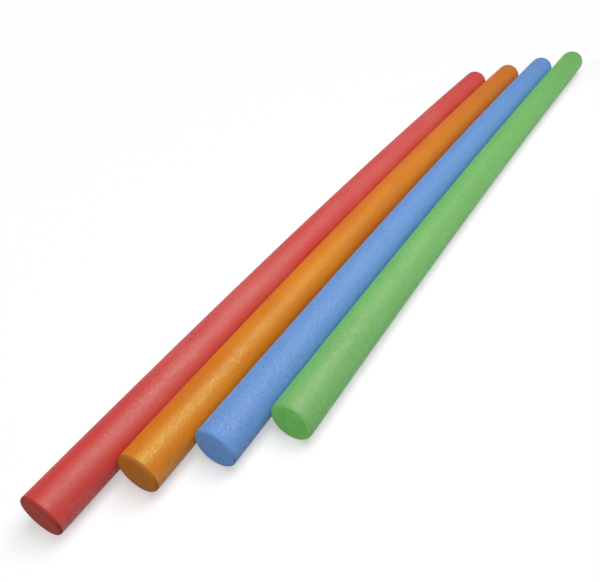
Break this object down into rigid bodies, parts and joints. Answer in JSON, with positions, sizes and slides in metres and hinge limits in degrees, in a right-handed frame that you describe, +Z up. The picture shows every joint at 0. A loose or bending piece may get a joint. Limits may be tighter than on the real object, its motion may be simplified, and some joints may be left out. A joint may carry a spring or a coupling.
{
  "type": "pool noodle set",
  "caption": "Slim round bars of solid foam with flat cut ends and softly rounded rims, lying side by side in a staggered row; each one lifts free of the others.",
  "frame": {"origin": "on the ground, under the middle of the box round the whole set", "axes": "+X along the noodles from their near cut ends to their far ones, +Y across the row towards the red noodle, +Z up; the ground is z = 0"},
  "size_m": [1.8614, 0.2932, 0.0647],
  "materials": {
    "red_foam": "satin",
    "orange_foam": "satin",
    "blue_foam": "satin",
    "green_foam": "satin"
  },
  "bodies": {
    "red_noodle": {"red_noodle": "red_foam"},
    "orange_noodle": {"orange_noodle": "orange_foam"},
    "blue_noodle": {"blue_noodle": "blue_foam"},
    "green_noodle": {"green_noodle": "green_foam"}
  },
  "joints": [
    {"name": "orange_lift", "type": "slide", "parent": "red_noodle", "child": "orange_noodle", "axis": [0, 0, 1], "range_m": [0, 0.13]},
    {"name": "blue_lift", "type": "slide", "parent": "red_noodle", "child": "blue_noodle", "axis": [0, 0, 1], "range_m": [0, 0.13]},
    {"name": "green_lift", "type": "slide", "parent": "red_noodle", "child": "green_noodle", "axis": [0, 0, 1], "range_m": [0, 0.13]}
  ]
}
